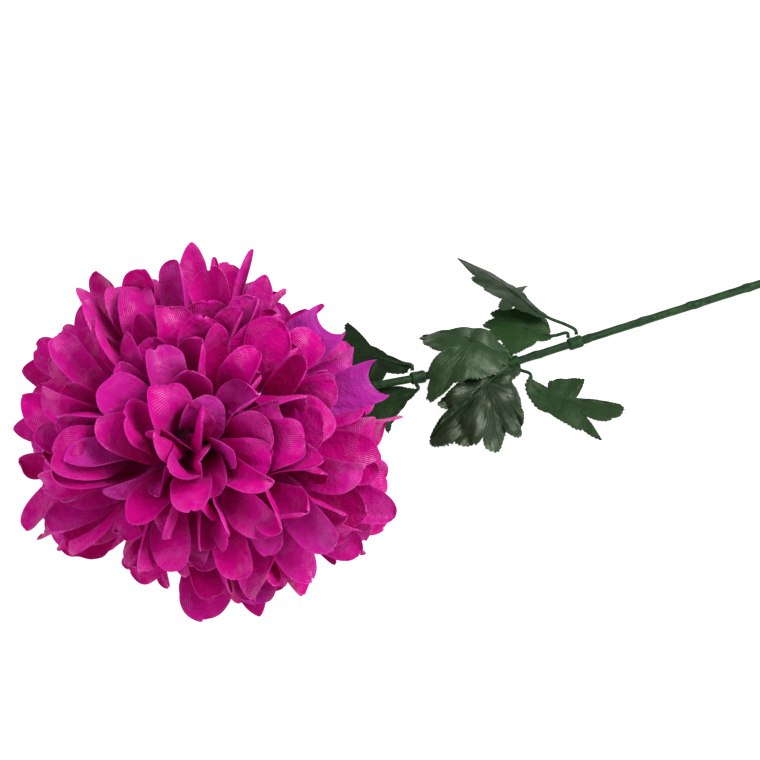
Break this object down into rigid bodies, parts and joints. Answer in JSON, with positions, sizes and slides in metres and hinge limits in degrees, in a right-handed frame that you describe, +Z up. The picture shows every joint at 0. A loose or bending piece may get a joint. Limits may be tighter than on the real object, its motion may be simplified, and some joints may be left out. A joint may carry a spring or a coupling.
{
  "type": "artificial chrysanthemum",
  "caption": "Single fabric chrysanthemum with a ball-shaped head of spoon-shaped petals on a bent wire stem with lobed leaves, lying on its side.",
  "frame": {"origin": "on the table under the middle of the flower's outer box", "axes": "+X along the stem from the bloom to the cut end, +Z up from the table the flower lies on"},
  "size_m": [0.5574, 0.166, 0.1423],
  "materials": {
    "petal_fabric": "woven polyester, soft sheen",
    "leaf_fabric": "waxed woven polyester, slight gloss",
    "stem_plastic": "moulded, satin",
    "wire_steel": "drawn wire"
  },
  "bodies": {
    "root": {"bloom": "petal_fabric", "calyx": "stem_plastic", "stem": "stem_plastic", "stem_wire": "wire_steel", "sleeve_neck": "stem_plastic", "sleeve_middle": "stem_plastic", "sleeve_lower": "stem_plastic", "leaf_neck_left": "leaf_fabric", "leaf_neck_right": "leaf_fabric", "leaf_middle_left": "leaf_fabric", "leaf_middle_right": "leaf_fabric", "leaf_middle_back": "leaf_fabric", "leaf_lower_left": "leaf_fabric", "leaf_lower_right": "leaf_fabric"}
  },
  "joints": []
}
